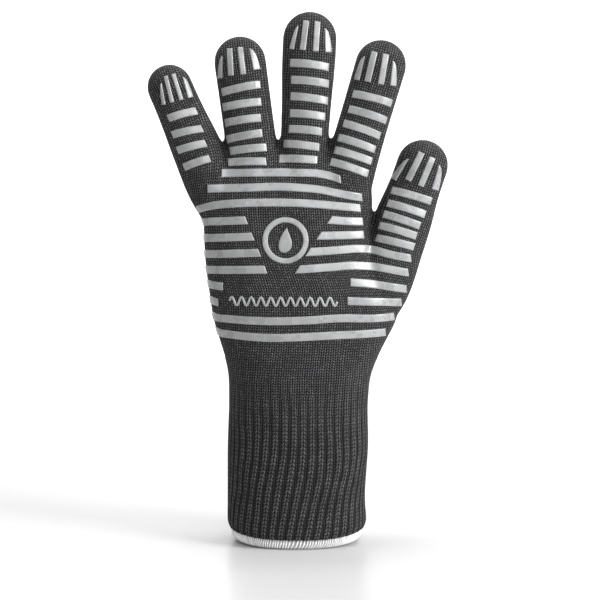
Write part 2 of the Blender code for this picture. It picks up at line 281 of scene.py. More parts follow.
# Rows from the top: (x, z) along each one. From the fourth down they start behind the left side, where
# x carries on round the edge of the palm below WRAP_TOP, from one turn to another in degrees.
# SIDE_SHARES of the half width and of the whole give the edge's radius.
ROWS = (
    ((-48.0, 229.3), (0.0, 229.4), (11.0, 229.0), (19.0, 227.3), (24.8, 225.3)),
    (
        (-56.5, 219.8), (-30.0, 220.5), (-15.0, 221.0), (0.0, 220.4),
        (12.0, 219.2), (24.0, 216.8), (38.0, 214.3),
    ),
    ((-62.0, 208.3), (-50.0, 210.0), (-18.0, 211.4), (0.0, 211.1), (20.0, 209.6), (37.0, 207.9)),
    ((-60.0, 199.5), (-35.0, 200.6), (15.0, 201.2), (27.0, 200.2), (38.5, 199.8)),
    ((-58.0, 189.5), (-30.0, 190.8), (13.0, 191.4), (39.0, 191.8)),
    (
        (-58.0, 179.6), (-30.0, 180.9), (5.0, 181.6), (24.0, 182.7),
        (36.0, 183.3), (46.0, 182.2), (54.0, 180.0), (68.0, 177.2),
    ),
    (
        (-57.0, 170.0), (-25.0, 170.9), (0.0, 171.2), (20.0, 172.5),
        (32.0, 173.2), (42.0, 172.6), (66.5, 168.4),
    ),
    ((-56.0, 161.2), (-47.0, 160.2), (31.0, 163.2), (43.0, 162.0), (54.0, 160.2), (65.5, 158.3)),
    ((-55.0, 151.3), (-48.0, 150.4), (29.0, 151.9), (45.0, 151.1), (62.5, 150.0)),
    (
        (-55.0, 141.3), (-42.0, 140.4), (-12.0, 139.8), (6.0, 140.5),
        (24.0, 141.5), (45.0, 141.0), (58.0, 141.3),
    ),
    (
        (-52.0, 131.8), (-36.0, 130.4), (-20.0, 129.7), (0.0, 130.2),
        (20.0, 131.2), (40.0, 131.6), (52.5, 132.0),
    ),
)
FIRST_WRAPPED_ROW = 4
WRAP_TURN = 58.0
WRAP_END_TURN = 100.0
WRAP_TOP = 212
SIDE_SHARES = (0.45, 0.5)
EMBLEM_ROWS = (4, 5, 6, 7)
EMBLEM_FOOT = 170.0
EMBLEM_LEFT = (-20.6, -0.40)
EMBLEM_RIGHT = (-1.6, 0.66)
LABEL_ROWS = (8, 9)
LABEL_ENDS = {8: (-47.0, 30.5), 9: (-48.5, 28.7)}
EMBLEM_CENTRE = (-8.8, 188.6)
EMBLEM_RADIUS = 12.4
RING_WIDTH = 3.4
RING_POINTS = 61
# The flame: half width and half height, lift, the power that draws its tip in, and how far it leans.
FLAME_SIZE = (5.6, 7.8)
FLAME_LIFT = 0.3
FLAME_POWER = 1.3
FLAME_LEAN = 0.9
FLAME_POINTS = 48
# The wavy line: left end, right end and height, then its rise, number of waves and width.
LABEL_LINE = (-43.0, 22.5, 151.6)
LABEL_RISE = 2.7
LABEL_WAVES = 11
LABEL_WIDTH = 1.5
LABEL_POINTS = 260
# A pad's rings: their share of its outline, and their share of the print's height.
PAD_RINGS = ((1.0, -0.2), (0.985, 0.45), (0.94, 0.9), (0.86, 1.0), (0.6, 1.0), (0.3, 1.0))


def smooth(x, knots):
    """A smooth curve through (x, y) knots, held level past both ends."""
    xs, ys = np.array(knots, float).T
    slopes = np.gradient(ys, xs)
    x = np.clip(x, xs[0], xs[-1])
    i = np.clip(np.searchsorted(xs, x) - 1, 0, len(xs) - 2)
    span = xs[i + 1] - xs[i]
    t = (x - xs[i]) / span
    start = (1 + 2 * t) * (1 - t) ** 2 * ys[i] + t * (1 - t) ** 2 * span * slopes[i]
    end = t**2 * (3 - 2 * t) * ys[i + 1] + t**2 * (t - 1) * span * slopes[i + 1]
    return start + end


def step_up(x, low, high):
    """From 0 at low to 1 at high, smoothly, and level past both."""
    t = np.clip((x - low) / (high - low), 0, 1)
    return t * t * (3 - 2 * t)


def torso_size(z):
    """Centre x, half width and half depth of the cuff and palm at a height."""
    heights, left, right, depth = np.array(TORSO).T
    left, right = smooth(z, list(zip(heights, left))), smooth(z, list(zip(heights, right)))
    return (left + right) / 2, (right - left) / 2, smooth(z, list(zip(heights, depth)))


def digit_frame(name):
    """The tip, the direction from it to the root and the direction across, from the CAD joint."""
    joint = JOINTS[name]
    across = np.array(joint["axis"], float)
    along = np.array([across[2], 0, -across[0]])
    tip = np.array(joint["pos_m"]) / MM - along * DIGITS[name]["fold"][0]
    return tip, along, across


def digit_point(name, station, offset=0.0):
    tip, along, across = digit_frame(name)
    return tip + along * station + across * offset


def digit_size(name, station, inset=0.0):
    digit = DIGITS[name]
    width = smooth(station, digit["half_widths"])
    depth = width * smooth(station, DIGIT_DEPTHS)
    radius = digit["half_widths"][0][1] - inset
    short = np.clip(1 - (station - inset - digit.get("trim", 0.0)) / radius, 0, 1)
    dome = np.sqrt(1 - short**2)
    return (width - inset) * dome, (depth - inset) * dome


# Skins


def linked(name, data):
    """A new object in the scene."""
    obj = bpy.data.objects.new(name, data)
    bpy.context.collection.objects.link(obj)
    return obj


def ring_faces(count, sides, first=0, closed=False):
    """Faces between rings of points that follow one another."""
    faces = []
    for i in range(count if closed else count - 1):
        a, b = first + i * sides, first + (i + 1) % count * sides
        for k in range(sides):
            after = (k + 1) % sides
            faces.append((a + k, a + after, b + after, b + k))
    return faces


def oval(half_width, half_depth, sides, power=2.0):
    turns = np.linspace(0, 2 * math.pi, sides, endpoint=False)
    across = np.sign(np.cos(turns)) * np.abs(np.cos(turns)) ** (2 / power)
    depth = np.sign(np.sin(turns)) * np.abs(np.sin(turns)) ** (2 / power)
    return half_width * across, half_depth * depth


def torso_rings(inset):
    rings = []
    for z in np.arange(LOFT_FOOT, PALM_TOP - inset + 0.1, RING_STEP):
        centre, half_width, half_depth = torso_size(max(z, 0.0))
        x, y = oval(half_width - inset, half_depth - inset, TORSO_SIDES, SQUARENESS)
        rings.append(np.column_stack([x + centre, y, np.full(len(x), z)]))
    return rings


def digit_rings(name, inset):
    inset_tip = inset + DIGITS[name].get("trim", 0.0)
    radius = DIGITS[name]["half_widths"][0][1] - inset
    turns = np.linspace(*TIP_TURNS)
    stations = list(inset_tip + radius * (1 - np.cos(turns)))
    stations += list(np.arange(stations[-1] + RING_STEP, DIGITS[name]["root"] - inset, RING_STEP))
    _, _, across = digit_frame(name)
    rings = []
    for station in stations:
        x, y = oval(*digit_size(name, station, inset), DIGIT_SIDES)
        ring = digit_point(name, station) + np.outer(x, across)
        ring[:, 1] += y
        rings.append(ring)
    return rings


def taken(body):
    """The points, normals and faces of a bmesh, which is freed."""
    body.verts.index_update()
    body.normal_update()
    co = np.array([v.co for v in body.verts])
    normals = np.array([v.normal for v in body.verts])
    polygons = [[v.index for v in f.verts] for f in body.faces]
    body.free()
    return co, normals, polygons


def closed_loft(rings, points, faces):
    sides, first = len(rings[0]), len(points)
    for ring in rings:
        points.extend(map(tuple, ring * MM))
    faces += ring_faces(len(rings), sides, first)
    faces.append(tuple(range(first + sides - 1, first - 1, -1)))
    faces.append(tuple(range(len(points) - sides, len(points))))


def make_skin(name, inset, voxel, rounds):
    """One seamless skin over palm, cuff and digits: lofts fused in voxels, then relaxed."""
    points, faces = [], []
    closed_loft(torso_rings(inset), points, faces)
    for digit in DIGITS:
        closed_loft(digit_rings(digit, inset), points, faces)
    mesh = bpy.data.meshes.new(name)
    mesh.from_pydata(points, [], faces)
    body = bmesh.new()
    body.from_mesh(mesh)
    bmesh.ops.recalc_face_normals(body, faces=body.faces)
    body.to_mesh(mesh)
    body.free()
    obj = linked(name, mesh)
    fuse = obj.modifiers.new("fuse", "REMESH")
    fuse.mode = "VOXEL"
    fuse.voxel_size = voxel * MM
    relax = obj.modifiers.new("relax", "SMOOTH")
    relax.factor = 0.5
    relax.iterations = rounds
    graph = bpy.context.evaluated_depsgraph_get()
    skin = bpy.data.meshes.new_from_object(obj.evaluated_get(graph))
    bpy.data.objects.remove(obj)
    co = np.array([v.co for v in skin.vertices]) / MM
    normals = np.array([v.normal for v in skin.vertices])
    co += normals * (fabric_relief(co) * np.abs(normals[:, 1]) ** RELIEF_POWER)[:, None]
    skin.vertices.foreach_set("co", (co * MM).astype(np.float32).ravel())
    skin.update()
    return skin


def fabric_relief(co):
    """Soft waves all over, and a valley below each web, on both sides of the glove."""
    rng = np.random.default_rng(7)
    relief = np.zeros(len(co))
    for _ in range(WAVES):
        direction = rng.normal(size=3)
        direction /= np.linalg.norm(direction)
        length = rng.uniform(*WAVE_LENGTHS)
        phase = rng.uniform(*WAVE_PHASES)
        relief += WAVE_HEIGHT * np.sin(co @ direction * 2 * math.pi / length + phase)
    relief *= step_up(co[:, 2], *WAVES_FADE)
    for start, end, depth in CREASES:
        start, end = np.array(start), np.array(end)
        run = end - start
        away = co[:, [0, 2]] - start
        share = np.clip(away @ run / (run @ run), 0, 1)
        distance = np.linalg.norm(away - share[:, None] * run, axis=1)
        relief -= depth * (1 - share) ** CREASE_POWER * np.exp(-((distance / CREASE_WIDTH) ** 2))
    return relief


def digit_share(name, co):
    """Station and offset of points along a digit, and which points lie within its width."""
    tip, along, across = digit_frame(name)
    away = co - tip
    station, offset = away @ along, away @ across
    half_width, _ = digit_size(name, np.maximum(station, DIGITS[name]["half_widths"][0][1]))
    return station, offset, half_width, np.abs(offset) < half_width * DIGIT_REACH


def digit_cut(name):
    centre, half = DIGITS[name]["fold"]
    return centre + half


def part_skin(skin, bottom):
    """Cuts the skin open at the cuff and parts it at the wrist and at each digit."""
    body = bmesh.new()
    body.from_mesh(skin)

    def bisect(faces, place, normal, clear=False):
        # Keys of a dict keep their order, so that every run gives the same order of vertices.
        around = dict.fromkeys([v for f in faces for v in f.verts] + [e for f in faces for e in f.edges])
        bmesh.ops.bisect_plane(
            body,
            geom=list(around) + faces,
            dist=CUT_TOLERANCE,
            plane_co=Vector(place) * MM,
            plane_no=normal,
            clear_inner=clear,
        )

    bisect(list(body.faces), (0, 0, bottom), (0, 0, 1), clear=True)
    near = [f for f in body.faces if abs(f.calc_center_median().z / MM - PALM_CUT) < NEAR_CUT]
    bisect(near, (0, 0, PALM_CUT), (0, 0, 1))
    for name in DIGITS:
        centres = np.array([f.calc_center_median() for f in body.faces]) / MM
        station, _, _, inside = digit_share(name, centres)
        near = inside & (np.abs(station - digit_cut(name)) < NEAR_CUT)
        _, along, _ = digit_frame(name)
        body.faces.ensure_lookup_table()
        crossed = [body.faces[i] for i in np.flatnonzero(near)]
        bisect(crossed, digit_point(name, digit_cut(name)), along)
    body.faces.ensure_lookup_table()
    centres = np.array([f.calc_center_median() for f in body.faces]) / MM
    owner = np.where(centres[:, 2] < PALM_CUT, 0, 1)
    for number, name in enumerate(DIGITS, 2):
        station, _, _, inside = digit_share(name, centres)
        owner[inside & (station < digit_cut(name))] = number
    return *taken(body), owner


def knit_coordinates(co):
    """Across and along the knit in millimetres, out from the cuff into each digit, and its direction."""
    x, z = co[:, 0], co[:, 2]
    u = x - torso_size(z)[0]
    total = np.full(len(co), 1e-9)
    u_digits, v_digits, joined_share = np.zeros(len(co)), np.zeros(len(co)), np.zeros(len(co))
    directions = np.zeros(co.shape)
    for name in DIGITS:
        station, offset, width, _ = digit_share(name, co)
        join, fade, shift = KNIT_JOINS[name]
        foot = digit_point(name, join)
        near = np.exp(-((offset / width) ** 2) / KNIT_SHARING)
        start = foot[0] - torso_size(foot[2])[0] + shift
        u_digits += near * (start + offset)
        v_digits += near * (foot[2] + join - station)
        joined_share += near * (1 - step_up(station, join, join + fade))
        directions += near[:, None] * digit_frame(name)[1]
        total += near
    share = joined_share / total
    direction = (share / total)[:, None] * directions
    direction[:, 2] -= 1 - share
    u = u * (1 - share) + share * u_digits / total
    v = z * (1 - share) + share * v_digits / total
    return u, v, direction


def rib_twist(z):
    """How far the ribs lean sideways by a height, in millimetres."""
    return sum(lean * step_up(z, low, high) for lean, low, high in RIB_LEANS)


def rib_phase(co):
    """The count of ribs round the cuff from its right side, and how strongly they show."""
    x, y, z = co.T
    centre, half_width, half_depth = torso_size(z)
    turn = np.arctan2(-y / half_depth, (x - centre) / half_width)
    radius = (half_width + half_depth) / 2
    phase = RIBS * (turn + rib_twist(z) / radius) / (2 * math.pi)
    phase += sum(size * np.sin(z / length + waves * turn) for size, length, waves in RIB_WANDER)
    return phase, 1 - step_up(z, RIB_END - RIB_FADE, RIB_END)


def shape_mouth(points, outer):
    """Lifts the sides of the cuff's mouth, and curls the outer knit in over the hem."""
    points = np.array(points, float)
    centre, half_width, _ = torso_size(np.maximum(points[:, 2], 0))
    share = np.minimum(np.abs(points[:, 0] - centre) / half_width, 1)
    lift = MOUTH_LIFT * share**3 * (1 - step_up(points[:, 2], 0, LIFTED))
    if outer:
        inward = CURL * (1 - np.clip((points[:, 2] - CURLED[0]) / (CURLED[1] - CURLED[0]), 0, 1)) ** 2
        spoke = np.column_stack([points[:, 0] - centre, points[:, 1]])
        spoke /= np.linalg.norm(spoke, axis=1, keepdims=True)
        points[:, :2] -= spoke * inward[:, None]
    points[:, 2] += lift
    return points


def new_piece(name, points, faces, finish):
    """A mesh object from points in millimetres."""
    mesh = bpy.data.meshes.new(name)
    mesh.from_pydata([tuple(p) for p in np.asarray(points) * MM], [], faces)
    mesh.materials.append(finish)
    mesh.shade_smooth()
    obj = linked(name, mesh)
    return obj


def set_vectors(obj, name, vectors):
    attribute = obj.data.attributes.new(name, "FLOAT_VECTOR", "POINT")
    attribute.data.foreach_set("vector", np.asarray(vectors, np.float32).ravel())


def set_knit_attributes(obj, co, normals=None, ribs=None):
    """Stores where each vertex lies on the knit, in stitches, for the materials to read."""
    co = np.asarray(co, float)
    u, v, direction = knit_coordinates(co)
    set_vectors(obj, "knit", np.column_stack([u / STITCH[0], v / STITCH[1], np.zeros(len(u))]))
    if normals is not None:
        sideways = 1 - step_up(np.abs(normals[:, 1]), *SIDE_KNIT)
        end_on = step_up(np.abs((normals * direction).sum(axis=1)), *END_KNIT)
        set_vectors(obj, "side", np.column_stack([co[:, 1] / STITCH[0], sideways, end_on]))
    if ribs is not None:
        set_vectors(obj, "ribs", ribs)


def denser(points, faces):
    """The same surface with every face divided, for relief finer than the voxels."""
    body = bmesh.new()
    for p in points:
        body.verts.new(p)
    body.verts.ensure_lookup_table()
    for face in faces:
        body.faces.new([body.verts[i] for i in face])
    bmesh.ops.subdivide_edges(body, edges=list(body.edges), cuts=1, use_grid_fill=True)
    return taken(body)


def skin_pieces(prefix, skin, bottom, finish, ribbed):
    """Makes the seven pieces of one layer; the palm's piece is joined to the palm's body, the others stay
    fixed in place.
    """
    co, normals, polygons, owner = part_skin(skin, bottom)
    made = {}
    for number, name in enumerate(["cuff", "palm", *DIGITS]):
        chosen = [polygons[i] for i in np.flatnonzero(owner == number)]
        used = sorted({i for face in chosen for i in face})
        place = {old: new for new, old in enumerate(used)}
        points = co[used] / MM
        vertex_normals = normals[used]
        faces = [[place[i] for i in face] for face in chosen]
        ribs = None
        if ribbed and name == "cuff":
            points, vertex_normals, faces = denser(points, faces)
            phase, strength = rib_phase(points)
            power, level = RIB_PROFILE
            relief = RIB_DEPTH * strength * (np.abs(np.cos(math.pi * phase)) ** power - level)
            points = points + vertex_normals * relief[:, None]
            ribs = np.column_stack([phase + 0.5, points[:, 2] / RIB_STITCH, strength])
        flat, flat_normals = points, vertex_normals
        if name == "cuff":
            points = shape_mouth(points, outer=ribbed)
        piece = new_piece(f"{name}_{prefix}_skin", points, faces, finish)
        set_knit_attributes(piece, flat, flat_normals, ribs)
        mesh = piece.data
        own = np.array([v.normal for v in mesh.vertices])
        if not (ribbed and name == "cuff"):
            edge = boundary_vertices(mesh)
            own[edge] = vertex_normals[edge]
        mesh.normals_split_custom_set_from_vertices([tuple(n) for n in own])
        made[name] = piece
    cuff_nodes = ["cuff_" + prefix] + (["wrist_fold"] if ribbed else [])
    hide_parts(*cuff_nodes)
    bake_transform(made["cuff"])
    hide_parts("palm_" + prefix)
    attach(made["palm"], "palm")
    for name in DIGITS:
        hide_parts(f"{name}_{prefix}", *([f"{name}_fold"] if ribbed else []))
        bend_with_digit(made[name])


def boundary_vertices(mesh):
    """Vertices on the open edge of a mesh."""
    body = bmesh.new()
    body.from_mesh(mesh)
    found = [v.index for v in body.verts if v.is_boundary]
    body.free()
    return found


def bend_with_digit(piece):
    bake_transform(piece)


# Silicone print


class Surface:
    """Finds points on the printed side of the skin."""

    def __init__(self, skin):
        self.tree = BVHTree.FromPolygons(
            [v.co for v in skin.vertices], [tuple(p.vertices) for p in skin.polygons]
        )

    def point(self, x, z):
        """The foremost point over (x, z). Past the palm's left side it carries on round the edge."""
        centre, half_width, half_depth = torso_size(z)
        turn_limit = math.radians(WRAP_TURN)
        limit = centre - half_width * math.sin(turn_limit)
        if x < limit and z < WRAP_TOP:
            turn = turn_limit + (limit - x) / side_radius(half_width, half_depth)
            ideal = (centre - half_width * math.sin(turn), -half_depth * math.cos(turn), z)
            return np.array(self.tree.find_nearest(Vector(ideal) * MM)[0]) / MM
        hit = self.tree.ray_cast(Vector((x * MM, IN_FRONT, z * MM)), Vector((0, 1, 0)))[0]
        if hit is None:
            hit = self.tree.find_nearest(Vector((x * MM, 0, z * MM)))[0]
        return np.array(hit) / MM


def side_radius(half_width, half_depth):
    """About how tightly the palm's side bends."""
    width_share, share = SIDE_SHARES
    return share * (half_width * width_share + half_depth)


def wrap_end(z):
    """The virtual x at which a row that runs round the palm's left side ends."""
    centre, half_width, half_depth = torso_size(z)
    limit = centre - half_width * math.sin(math.radians(WRAP_TURN))
    return limit - math.radians(WRAP_END_TURN - WRAP_TURN) * side_radius(half_width, half_depth)


def spread(length):
    """Distances along a band: close together at both ends, so that its rim is round."""
    steps = [d for d in EDGE_STEPS if d < length / 2]
    count = max(int((length - 2 * steps[-1]) / PRINT_STEP), 1)
    middle = list(np.linspace(steps[-1], length - steps[-1], count + 1))[1:-1]
    return steps + middle + [length - d for d in reversed(steps)]


def along_line(line, distances):
    line = np.asarray(line, float)
    runs = np.concatenate([[0], np.cumsum(np.linalg.norm(np.diff(line, axis=0), axis=1))])
    where = np.array(distances) / distances[-1] * runs[-1]
    return np.column_stack([np.interp(where, runs, line[:, i]) for i in range(2)])


def band(surface, lower, upper, closed=False):
    """A printed band between two (x, z) lines: its points in millimetres and its faces."""
    lower, upper = np.asarray(lower, float), np.asarray(upper, float)
    run, rise = lower[-1] - lower[0], (upper - lower).sum(axis=0)
    if not closed and run[0] * rise[1] < run[1] * rise[0]:
        lower, upper = upper, lower
    middle = (lower + upper) / 2
    length = np.linalg.norm(np.diff(middle, axis=0), axis=1).sum()
    width = np.linalg.norm(upper - lower, axis=1).max()
    stations = list(np.linspace(0, length, int(length / CLOSED_STEP) + 1)) if closed else spread(length)
    rows = [d for d in EDGE_STEPS if d < width / 2]
    rows = rows + [width / 2] + [width - d for d in reversed(rows)]
    low, high = along_line(lower, stations), along_line(upper, stations)
    grid = np.array([[a + (b - a) * r / width for r in rows] for a, b in zip(low, high)])
    on_skin = np.array([[surface.point(*p) for p in line] for line in grid])
    return raised(on_skin, stations, rows, low, high, closed)


def raised(on_skin, stations, rows, low, high, closed):
    """Lifts a grid of skin points into a cushion with a round rim and closes it underneath."""
    along = np.gradient(on_skin, axis=0)
    across = np.gradient(on_skin, axis=1)
    if closed:
        along[0] = along[-1] = on_skin[1] - on_skin[-2]
    normal = np.cross(along, across)
    normal /= np.maximum(np.linalg.norm(normal, axis=2, keepdims=True), 1e-9)
    widths = np.linalg.norm(high - low, axis=1)[:, None]
    share = np.array(rows)[None, :] / rows[-1]
    side = np.minimum(share, 1 - share) * widths
    run = np.array(stations)[:, None]
    end = np.minimum(run, stations[-1] - run) if not closed else np.full_like(run, NO_END)
    rim = np.minimum(side, end)
    height = PRINT_HEIGHT * np.sqrt(1 - (1 - np.clip(rim / PRINT_ROUND, 0, 1)) ** 2)
    height[rim < 0.01] = -EDGE_SINK
    top = on_skin + normal * height[..., None]
    bottom = on_skin - normal * PRINT_SINK
    if closed:
        top, bottom = top[:-1], bottom[:-1]
    n, m = top.shape[:2]
    under = n * m
    faces = []
    for i in range(n if closed else n - 1):
        after = (i + 1) % n
        for k in range(m - 1):
            a, b, c, d = i * m + k, after * m + k, after * m + k + 1, i * m + k + 1
            faces.append((a, b, c, d))
            faces.append((under + a, under + d, under + c, under + b))
        for k, turn in ((0, -1), (m - 1, 1)):
            a, b = i * m + k, after * m + k
            faces.append((a, b, under + b, under + a)[::turn])
    for i, turn in () if closed else ((0, 1), (n - 1, -1)):
        for k in range(m - 1):
            a, b = i * m + k, i * m + k + 1
            faces.append((a, b, under + b, under + a)[::turn])
    return np.concatenate([top.reshape(-1, 3), bottom.reshape(-1, 3)]), faces


def stroke(surface, line, width, closed=False):
    """A band of constant width along a line of (x, z) points."""
    line = np.asarray(line, float)
    ahead = np.gradient(line, axis=0)
    if closed:
        ahead[0] = ahead[-1] = line[1] - line[-2]
    ahead /= np.linalg.norm(ahead, axis=1, keepdims=True)
    side = np.column_stack([-ahead[:, 1], ahead[:, 0]]) * width / 2
    return band(surface, line - side, line + side, closed)


def joined(parts):
    points, faces = [], []
    for part_points, part_faces in parts:
        first = len(points)
        points.extend(part_points)
        faces.extend(tuple(i + first for i in face) for face in part_faces)
    return points, faces


def cross_bar(name, bar):
    """The two long edges of a bar across a digit, as (x, z) points."""
    station, shift, width, tilt = bar
    offsets = np.linspace(-width / 2, width / 2, BAR_POINTS)
    edges = []
    for side in (DIGITS[name]["bar_height"] / 2, -DIGITS[name]["bar_height"] / 2):
        along = station + side + offsets * math.tan(math.radians(tilt))
        along += BAR_SAG * (offsets / (width / 2)) ** 2
        edges.append([digit_point(name, s, shift + o)[[0, 2]] for s, o in zip(along, offsets)])
    return edges


def half_moon(width, length, side):
    """The straight inner edge and the bulging outer edge of a half-moon, as (offset, run) arrays."""
    runs = np.linspace(*MOON_RUN, MOON_POINTS) * length
    share = (runs - runs[0]) / (runs[-1] - runs[0])
    bulge = MOON_EDGE + width * MOON_BULGE * np.sqrt(share) * (1 - MOON_TAPER * share)
    return [(np.full(len(runs), -side * width / 2), runs), (side * (bulge - width / 2), runs)]


def straight_bar(width, length):
    runs = np.linspace(-length / 2, length / 2, TIP_POINTS)
    return [(np.full(len(runs), side * width / 2), runs) for side in (-1, 1)]


def tip_bars(name):
    """Four lengthwise bars on a fingertip: two straight ones between two half-moons."""
    shift, distance, turn, spacing, length = DIGITS[name]["tips"]
    left, right = DIGITS[name]["moons"]
    width = TIP_BAR * spacing / TIP_SPACING
    row_turn = math.radians(turn)
    bars = []
    for place, moon in ((-1.5, left), (-0.5, None), (0.5, None), (1.5, right)):
        lean = turn - place * TIP_FAN
        run = place * spacing
        drop = distance + run * math.sin(row_turn)
        middle = shift + run * math.cos(row_turn)
        if moon:
            lower, outward, turned, share = moon
            edges = half_moon(width * share, length, math.copysign(1, place))
            drop += lower
            lean += turned
            middle = shift + run * MOON_INWARD * math.cos(row_turn) + outward
        else:
            edges = straight_bar(width, length)
        lean = math.radians(lean)
        lines = []
        for offsets, runs in edges:
            across = middle + offsets * math.cos(lean) - runs * math.sin(lean)
            along = drop + runs * math.cos(lean) + offsets * math.sin(lean)
            lines.append([digit_point(name, s, o)[[0, 2]] for o, s in zip(across, along)])
        bars.append(lines)
    return bars


def make_digit_print(surface, name, finish):
    parts = [band(surface, *cross_bar(name, bar)) for bar in DIGITS[name]["bars"]]
    parts += [band(surface, *edges) for edges in tip_bars(name)]
    piece = print_piece(f"{name}_print", parts, finish)
    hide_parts(*[n for n in frame["nodes"] if n.startswith(f"{name}_bar_")])
    bend_with_digit(piece)


def print_piece(name, parts, finish):
    points, faces = joined(parts)
    piece = new_piece(name, points, faces, finish)
    set_knit_attributes(piece, points)
    return piece


def palm_row(surface, row, left, right):
    """A row across the palm. Its ends are (x, slope), so that an end can run aslant."""
    edges = []
    for side in (-ROW_HEIGHT / 2, ROW_HEIGHT / 2):
        xs = np.linspace(left[0] + left[1] * side, right[0] + right[1] * side, ROW_POINTS)
        edges.append(np.column_stack([xs, smooth(xs, row) + side]))
    return band(surface, *edges)


def make_palm_print(surface, finish):
    parts = []
    for number, row in enumerate(ROWS, 1):
        z = row[0][1]
        start = (wrap_end(z) if number >= FIRST_WRAPPED_ROW else row[0][0], 0.0)
        end = (row[-1][0], ROW_END_SLOPE)
        if number in EMBLEM_ROWS:
            gap = [(foot + k * (z - EMBLEM_FOOT), k) for foot, k in (EMBLEM_LEFT, EMBLEM_RIGHT)]
        elif number in LABEL_ROWS:
            gap = [(x, 0.0) for x in LABEL_ENDS[number]]
        else:
            parts.append(palm_row(surface, row, start, end))
            continue
        parts.append(palm_row(surface, row, start, gap[0]))
        parts.append(palm_row(surface, row, gap[1], end))
    piece = print_piece("palm_print", parts, finish)
    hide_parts(*[n for n in frame["nodes"] if n.startswith("palm_bar_")])
    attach(piece, "palm")


def pad(surface, outline):
    """A small printed pad inside a closed outline, as rings shrinking to its middle."""
    outline = np.asarray(outline, float)
    middle = outline.mean(axis=0)
    points = []
    n = len(outline)
    for share, height in PAD_RINGS:
        for p in middle + (outline - middle) * share:
            spot = surface.point(*p)
            points.append(spot + np.array([0, -PRINT_HEIGHT * height, 0]))
    faces = ring_faces(len(PAD_RINGS), n)
    points.append(surface.point(*middle) + np.array([0, -PRINT_HEIGHT, 0]))
    last = (len(PAD_RINGS) - 1) * n
    faces += [(last + k, last + (k + 1) % n, len(points) - 1) for k in range(n)]
    first = len(points)
    points += [surface.point(*p) + np.array([0, PRINT_SINK, 0]) for p in outline]
    faces += [(k, first + k, first + (k + 1) % n, (k + 1) % n) for k in range(n)]
    faces.append(tuple(range(first + n - 1, first - 1, -1)))
    return points, faces


def make_marks(surface, finish):
    """A plain flame in a ring, and a plain wavy line, in the print's two clear fields."""
    x, z = EMBLEM_CENTRE
    turns = np.linspace(0, 2 * math.pi, RING_POINTS)
    ring = np.column_stack([x + EMBLEM_RADIUS * np.cos(turns), z + EMBLEM_RADIUS * np.sin(turns)])
    turns = np.linspace(2 * math.pi, 0, FLAME_POINTS, endpoint=False)
    half_width, half_height = FLAME_SIZE
    lean = FLAME_LEAN * np.cos(turns) ** 2 * np.sign(np.cos(turns))
    flame_x = x + half_width * np.sin(turns) * np.sin(turns / 2) ** FLAME_POWER + lean
    flame = np.column_stack([flame_x, z + FLAME_LIFT + half_height * np.cos(turns)])
    parts = [stroke(surface, ring, RING_WIDTH, closed=True), pad(surface, flame)]
    emblem = print_piece("flame_emblem", parts, finish)
    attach(emblem, "palm")
    low, high, z = LABEL_LINE
    xs = np.linspace(low, high, LABEL_POINTS)
    rise = LABEL_RISE * np.sin((xs - low) / (high - low) * 2 * math.pi * LABEL_WAVES)
    wave = np.column_stack([xs, z + rise])
    strip = print_piece("wave_strip", [stroke(surface, wave, LABEL_WIDTH)], finish)
    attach(strip, "palm")


# Hem


def hem_path(z, inset, turn):
    centre, half_width, half_depth = torso_size(max(z, 0))
    c, s = math.cos(turn), math.sin(turn)
    power = 2 / SQUARENESS
    x = centre + (half_width - inset) * math.copysign(abs(c) ** power, c)
    y = (half_depth - inset) * math.copysign(abs(s) ** power, s)
    return x, y, z


def wander(number, size, pace):
    return size * math.sin(number * pace)


def make_hem(base, yarn):
    """The overlocked edge: a soft bound rim with thread loops wrapped closely over it; the rim's grey is
    painted shade between the loops.
    """
    count, sides = HEM_SIDES
    half_height = HEM_TOP / 2
    middle = CURL + HEM_THICK
    points = []
    for i in range(count):
        turn = 2 * math.pi * i / count
        for k in range(sides):
            a = 2 * math.pi * k / sides
            z = half_height + (half_height - HEM_INSET) * math.sin(a)
            points.append(hem_path(z, middle - (HEM_THICK - HEM_INSET) * math.cos(a), turn))
    faces = [(a, d, c, b) for a, b, c, d in ring_faces(count, sides, closed=True)]
    # The rim's grey finish paints shade in the gaps between the thread loops.
    rim = new_piece("hem_rim", shape_mouth(points, outer=False), faces, base)
    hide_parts("cuff_hem")
    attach(rim, "cuff")
    line = []
    for i in range(HEM_LOOPS * LOOP_POINTS):
        a = 2 * math.pi * i / LOOP_POINTS
        loop = i // LOOP_POINTS
        reach = LOOP_REACH[0] + LOOP_REACH[1] * (loop % 2) + wander(loop, *REACH_WANDER)
        place = i / LOOP_POINTS + LOOP_LEAN * math.sin(a) + wander(loop, *PLACE_WANDER)
        turn = 2 * math.pi * place / HEM_LOOPS
        z = half_height + (half_height + (reach if math.sin(a) > 0 else LOOP_FOOT)) * math.sin(a)
        line.append(hem_path(z, middle - (HEM_THICK + LOOP_PROUD) * math.cos(a), turn))
    points = shape_mouth(line, outer=False)
    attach(thread("hem_overlock", points, HEM_THREAD, yarn), "cuff")


def thread(name, line, radius, finish):
    """A closed loop of thread along a line of points, as a mesh tube."""
    line = np.array(line)
    ahead = np.roll(line, -1, axis=0) - np.roll(line, 1, axis=0)
    ahead /= np.linalg.norm(ahead, axis=1, keepdims=True)
    out = np.column_stack([line[:, 0], line[:, 1] * OUTWARD_Y, np.zeros(len(line))])
    side = np.cross(ahead, out)
    side /= np.linalg.norm(side, axis=1, keepdims=True)
    up = np.cross(side, ahead)
    points = []
    for k in range(THREAD_SIDES):
        a = 2 * math.pi * k / THREAD_SIDES
        points.append(line + radius * (math.cos(a) * side + math.sin(a) * up))
    points = np.stack(points, axis=1).reshape(-1, 3)
    faces = ring_faces(len(line), THREAD_SIDES, closed=True)
    return new_piece(name, points, faces, finish)


# Materials. A noise's scale is per metre, and a span is where the values that matter lie.

NOISE_SPAN = (0.3, 0.7)
